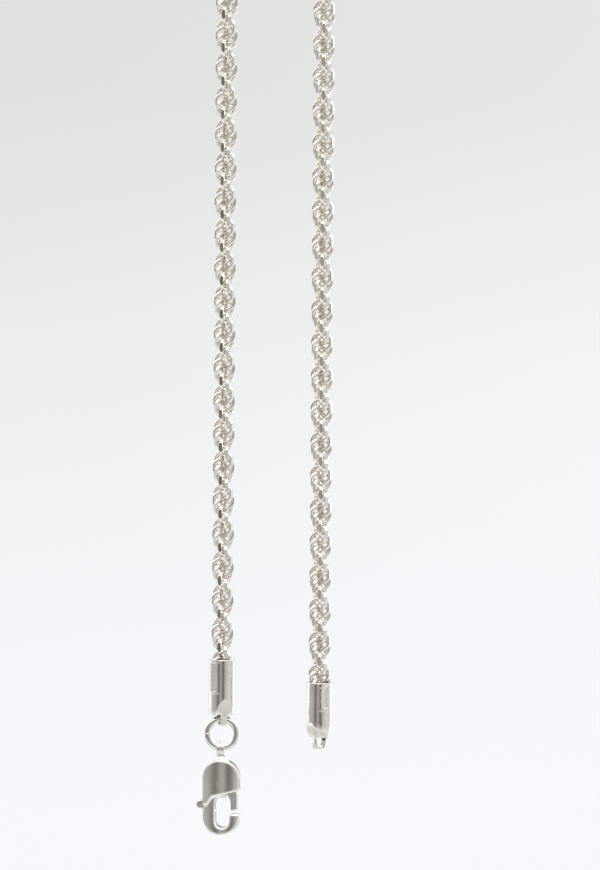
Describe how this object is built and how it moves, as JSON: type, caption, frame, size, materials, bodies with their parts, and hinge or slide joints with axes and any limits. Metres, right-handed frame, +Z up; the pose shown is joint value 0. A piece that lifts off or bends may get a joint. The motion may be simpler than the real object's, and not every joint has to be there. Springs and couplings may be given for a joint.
{
  "type": "chain necklace",
  "caption": "Silver rope chain necklace hung doubled over a peg, with end caps, a jump ring and a lobster clasp whose sprung lever opens.",
  "frame": {"origin": "the point on top of the peg where the inside of the rope's bend rests", "axes": "+Z up along the hanging strands, +X from the clasp's strand towards the other strand, -Y out of the clasp's face"},
  "size_m": [0.016, 0.003, 0.204],
  "materials": {
    "rope_silver": "polished sterling silver, diamond-cut facets",
    "cap_silver": "polished sterling silver sheet",
    "ring_silver": "polished sterling silver wire",
    "clasp_silver": "polished cast sterling silver",
    "lever_silver": "polished sterling silver",
    "spring_steel": "flat spring strip"
  },
  "bodies": {
    "bend": {"rope_bend": "rope_silver"},
    "left_run_01": {"rope_left_01": "rope_silver"},
    "left_run_02": {"rope_left_02": "rope_silver"},
    "left_run_03": {"rope_left_03": "rope_silver"},
    "left_run_04": {"rope_left_04": "rope_silver"},
    "left_run_05": {"rope_left_05": "rope_silver"},
    "left_run_06": {"rope_left_06": "rope_silver"},
    "left_run_07": {"rope_left_07": "rope_silver"},
    "left_run_08": {"rope_left_08": "rope_silver"},
    "left_run_09": {"rope_left_09": "rope_silver"},
    "left_run_10": {"rope_left_10": "rope_silver"},
    "left_run_11": {"rope_left_11": "rope_silver"},
    "left_run_12": {"rope_left_12": "rope_silver"},
    "left_run_13": {"rope_left_13": "rope_silver"},
    "left_run_14": {"rope_left_14": "rope_silver"},
    "left_run_15": {"rope_left_15": "rope_silver"},
    "left_run_16": {"rope_left_16": "rope_silver"},
    "left_run_17": {"rope_left_17": "rope_silver"},
    "left_run_18": {"rope_left_18": "rope_silver"},
    "left_run_19": {"rope_left_19": "rope_silver"},
    "left_run_20": {"rope_left_20": "rope_silver"},
    "left_run_21": {"rope_left_21": "rope_silver"},
    "left_run_22": {"rope_left_22": "rope_silver"},
    "left_run_23": {"rope_left_23": "rope_silver", "end_cap_left": "cap_silver"},
    "right_run_01": {"rope_right_01": "rope_silver"},
    "right_run_02": {"rope_right_02": "rope_silver"},
    "right_run_03": {"rope_right_03": "rope_silver"},
    "right_run_04": {"rope_right_04": "rope_silver"},
    "right_run_05": {"rope_right_05": "rope_silver"},
    "right_run_06": {"rope_right_06": "rope_silver"},
    "right_run_07": {"rope_right_07": "rope_silver"},
    "right_run_08": {"rope_right_08": "rope_silver"},
    "right_run_09": {"rope_right_09": "rope_silver"},
    "right_run_10": {"rope_right_10": "rope_silver"},
    "right_run_11": {"rope_right_11": "rope_silver"},
    "right_run_12": {"rope_right_12": "rope_silver"},
    "right_run_13": {"rope_right_13": "rope_silver"},
    "right_run_14": {"rope_right_14": "rope_silver"},
    "right_run_15": {"rope_right_15": "rope_silver"},
    "right_run_16": {"rope_right_16": "rope_silver"},
    "right_run_17": {"rope_right_17": "rope_silver"},
    "right_run_18": {"rope_right_18": "rope_silver"},
    "right_run_19": {"rope_right_19": "rope_silver"},
    "right_run_20": {"rope_right_20": "rope_silver"},
    "right_run_21": {"rope_right_21": "rope_silver"},
    "right_run_22": {"rope_right_22": "rope_silver"},
    "right_run_23": {"rope_right_23": "rope_silver", "end_cap_right": "cap_silver"},
    "ring": {"jump_ring": "ring_silver"},
    "clasp": {"clasp_body": "clasp_silver", "clasp_pivot_pin": "lever_silver", "clasp_spring": "spring_steel"},
    "lever": {"clasp_lever": "lever_silver"}
  },
  "joints": [
    {"name": "lever_open", "type": "hinge", "parent": "clasp", "child": "lever", "pos_m": [-0.00584, 0.00001, -0.19571], "axis": [0.1392, 0.9903, 0], "range_deg": [0, 20], "stiffness_Nm_per_rad": 0.0005, "springref_deg": -20.05, "deforming": ["clasp_spring"]},
    {"name": "clasp_swing", "type": "hinge", "parent": "ring", "child": "clasp", "pos_m": [-0.00574, 0, -0.19151], "axis": [1, 0, 0], "range_deg": [-20, 20]},
    {"name": "ring_swing", "type": "hinge", "parent": "left_run_23", "child": "ring", "pos_m": [-0.00574, 0, -0.18878], "axis": [0, 1, 0], "range_deg": [-6, 6]},
    {"name": "left_flex_01", "type": "hinge", "parent": "bend", "child": "left_run_01", "pos_m": [-0.00574, 0, -0.00448], "axis": [1, 0, 0], "range_deg": [-6, 6]},
    {"name": "left_flex_02", "type": "hinge", "parent": "left_run_01", "child": "left_run_02", "pos_m": [-0.00574, 0, -0.01232], "axis": [0, 1, 0], "range_deg": [-2.4, 6]},
    {"name": "left_flex_03", "type": "hinge", "parent": "left_run_02", "child": "left_run_03", "pos_m": [-0.00574, 0, -0.02015], "axis": [1, 0, 0], "range_deg": [-6, 6]},
    {"name": "left_flex_04", "type": "hinge", "parent": "left_run_03", "child": "left_run_04", "pos_m": [-0.00574, 0, -0.02799], "axis": [0, 1, 0], "range_deg": [-2.6, 6]},
    {"name": "left_flex_05", "type": "hinge", "parent": "left_run_04", "child": "left_run_05", "pos_m": [-0.00574, 0, -0.03582], "axis": [1, 0, 0], "range_deg": [-6, 6]},
    {"name": "left_flex_06", "type": "hinge", "parent": "left_run_05", "child": "left_run_06", "pos_m": [-0.00574, 0, -0.04366], "axis": [0, 1, 0], "range_deg": [-2.9, 6]},
    {"name": "left_flex_07", "type": "hinge", "parent": "left_run_06", "child": "left_run_07", "pos_m": [-0.00574, 0, -0.05149], "axis": [1, 0, 0], "range_deg": [-6, 6]},
    {"name": "left_flex_08", "type": "hinge", "parent": "left_run_07", "child": "left_run_08", "pos_m": [-0.00574, 0, -0.05933], "axis": [0, 1, 0], "range_deg": [-3.2, 6]},
    {"name": "left_flex_09", "type": "hinge", "parent": "left_run_08", "child": "left_run_09", "pos_m": [-0.00574, 0, -0.06716], "axis": [1, 0, 0], "range_deg": [-6, 6]},
    {"name": "left_flex_10", "type": "hinge", "parent": "left_run_09", "child": "left_run_10", "pos_m": [-0.00574, 0, -0.075], "axis": [0, 1, 0], "range_deg": [-3.7, 6]},
    {"name": "left_flex_11", "type": "hinge", "parent": "left_run_10", "child": "left_run_11", "pos_m": [-0.00574, 0, -0.08283], "axis": [1, 0, 0], "range_deg": [-6, 6]},
    {"name": "left_flex_12", "type": "hinge", "parent": "left_run_11", "child": "left_run_12", "pos_m": [-0.00574, 0, -0.09067], "axis": [0, 1, 0], "range_deg": [-4.3, 6]},
    {"name": "left_flex_13", "type": "hinge", "parent": "left_run_12", "child": "left_run_13", "pos_m": [-0.00574, 0, -0.0985], "axis": [1, 0, 0], "range_deg": [-6, 6]},
    {"name": "left_flex_14", "type": "hinge", "parent": "left_run_13", "child": "left_run_14", "pos_m": [-0.00574, 0, -0.10634], "axis": [0, 1, 0], "range_deg": [-5, 6]},
    {"name": "left_flex_15", "type": "hinge", "parent": "left_run_14", "child": "left_run_15", "pos_m": [-0.00574, 0, -0.11417], "axis": [1, 0, 0], "range_deg": [-6, 6]},
    {"name": "left_flex_16", "type": "hinge", "parent": "left_run_15", "child": "left_run_16", "pos_m": [-0.00574, 0, -0.12201], "axis": [0, 1, 0], "range_deg": [-6, 6]},
    {"name": "left_flex_17", "type": "hinge", "parent": "left_run_16", "child": "left_run_17", "pos_m": [-0.00574, 0, -0.12984], "axis": [1, 0, 0], "range_deg": [-6, 6]},
    {"name": "left_flex_18", "type": "hinge", "parent": "left_run_17", "child": "left_run_18", "pos_m": [-0.00574, 0, -0.13768], "axis": [0, 1, 0], "range_deg": [-6, 6]},
    {"name": "left_flex_19", "type": "hinge", "parent": "left_run_18", "child": "left_run_19", "pos_m": [-0.00574, 0, -0.14551], "axis": [1, 0, 0], "range_deg": [-6, 6]},
    {"name": "left_flex_20", "type": "hinge", "parent": "left_run_19", "child": "left_run_20", "pos_m": [-0.00574, 0, -0.15335], "axis": [0, 1, 0], "range_deg": [-6, 6]},
    {"name": "left_flex_21", "type": "hinge", "parent": "left_run_20", "child": "left_run_21", "pos_m": [-0.00574, 0, -0.16118], "axis": [1, 0, 0], "range_deg": [-6, 6]},
    {"name": "left_flex_22", "type": "hinge", "parent": "left_run_21", "child": "left_run_22", "pos_m": [-0.00574, 0, -0.16902], "axis": [0, 1, 0], "range_deg": [-6, 6]},
    {"name": "left_flex_23", "type": "hinge", "parent": "left_run_22", "child": "left_run_23", "pos_m": [-0.00574, 0, -0.17685], "axis": [1, 0, 0], "range_deg": [-6, 6]},
    {"name": "right_flex_01", "type": "hinge", "parent": "bend", "child": "right_run_01", "pos_m": [0.00574, 0, -0.00448], "axis": [1, 0, 0], "range_deg": [-6, 6]},
    {"name": "right_flex_02", "type": "hinge", "parent": "right_run_01", "child": "right_run_02", "pos_m": [0.00574, 0, -0.01232], "axis": [0, 1, 0], "range_deg": [-6, 2.4]},
    {"name": "right_flex_03", "type": "hinge", "parent": "right_run_02", "child": "right_run_03", "pos_m": [0.00574, 0, -0.02015], "axis": [1, 0, 0], "range_deg": [-6, 6]},
    {"name": "right_flex_04", "type": "hinge", "parent": "right_run_03", "child": "right_run_04", "pos_m": [0.00574, 0, -0.02799], "axis": [0, 1, 0], "range_deg": [-6, 2.6]},
    {"name": "right_flex_05", "type": "hinge", "parent": "right_run_04", "child": "right_run_05", "pos_m": [0.00574, 0, -0.03582], "axis": [1, 0, 0], "range_deg": [-6, 6]},
    {"name": "right_flex_06", "type": "hinge", "parent": "right_run_05", "child": "right_run_06", "pos_m": [0.00574, 0, -0.04366], "axis": [0, 1, 0], "range_deg": [-6, 2.9]},
    {"name": "right_flex_07", "type": "hinge", "parent": "right_run_06", "child": "right_run_07", "pos_m": [0.00574, 0, -0.05149], "axis": [1, 0, 0], "range_deg": [-6, 6]},
    {"name": "right_flex_08", "type": "hinge", "parent": "right_run_07", "child": "right_run_08", "pos_m": [0.00574, 0, -0.05933], "axis": [0, 1, 0], "range_deg": [-6, 3.2]},
    {"name": "right_flex_09", "type": "hinge", "parent": "right_run_08", "child": "right_run_09", "pos_m": [0.00574, 0, -0.06716], "axis": [1, 0, 0], "range_deg": [-6, 6]},
    {"name": "right_flex_10", "type": "hinge", "parent": "right_run_09", "child": "right_run_10", "pos_m": [0.00574, 0, -0.075], "axis": [0, 1, 0], "range_deg": [-6, 3.7]},
    {"name": "right_flex_11", "type": "hinge", "parent": "right_run_10", "child": "right_run_11", "pos_m": [0.00574, 0, -0.08283], "axis": [1, 0, 0], "range_deg": [-6, 6]},
    {"name": "right_flex_12", "type": "hinge", "parent": "right_run_11", "child": "right_run_12", "pos_m": [0.00574, 0, -0.09067], "axis": [0, 1, 0], "range_deg": [-6, 4.3]},
    {"name": "right_flex_13", "type": "hinge", "parent": "right_run_12", "child": "right_run_13", "pos_m": [0.00574, 0, -0.0985], "axis": [1, 0, 0], "range_deg": [-6, 6]},
    {"name": "right_flex_14", "type": "hinge", "parent": "right_run_13", "child": "right_run_14", "pos_m": [0.00574, 0, -0.10634], "axis": [0, 1, 0], "range_deg": [-6, 5]},
    {"name": "right_flex_15", "type": "hinge", "parent": "right_run_14", "child": "right_run_15", "pos_m": [0.00574, 0, -0.11417], "axis": [1, 0, 0], "range_deg": [-6, 6]},
    {"name": "right_flex_16", "type": "hinge", "parent": "right_run_15", "child": "right_run_16", "pos_m": [0.00574, 0, -0.12201], "axis": [0, 1, 0], "range_deg": [-6, 6]},
    {"name": "right_flex_17", "type": "hinge", "parent": "right_run_16", "child": "right_run_17", "pos_m": [0.00574, 0, -0.12984], "axis": [1, 0, 0], "range_deg": [-6, 6]},
    {"name": "right_flex_18", "type": "hinge", "parent": "right_run_17", "child": "right_run_18", "pos_m": [0.00574, 0, -0.13768], "axis": [0, 1, 0], "range_deg": [-6, 6]},
    {"name": "right_flex_19", "type": "hinge", "parent": "right_run_18", "child": "right_run_19", "pos_m": [0.00574, 0, -0.14551], "axis": [1, 0, 0], "range_deg": [-6, 6]},
    {"name": "right_flex_20", "type": "hinge", "parent": "right_run_19", "child": "right_run_20", "pos_m": [0.00574, 0, -0.15335], "axis": [0, 1, 0], "range_deg": [-6, 6]},
    {"name": "right_flex_21", "type": "hinge", "parent": "right_run_20", "child": "right_run_21", "pos_m": [0.00574, 0, -0.16118], "axis": [1, 0, 0], "range_deg": [-6, 6]},
    {"name": "right_flex_22", "type": "hinge", "parent": "right_run_21", "child": "right_run_22", "pos_m": [0.00574, 0, -0.16902], "axis": [0, 1, 0], "range_deg": [-6, 6]},
    {"name": "right_flex_23", "type": "hinge", "parent": "right_run_22", "child": "right_run_23", "pos_m": [0.00574, 0, -0.17685], "axis": [1, 0, 0], "range_deg": [-6, 6]}
  ]
}
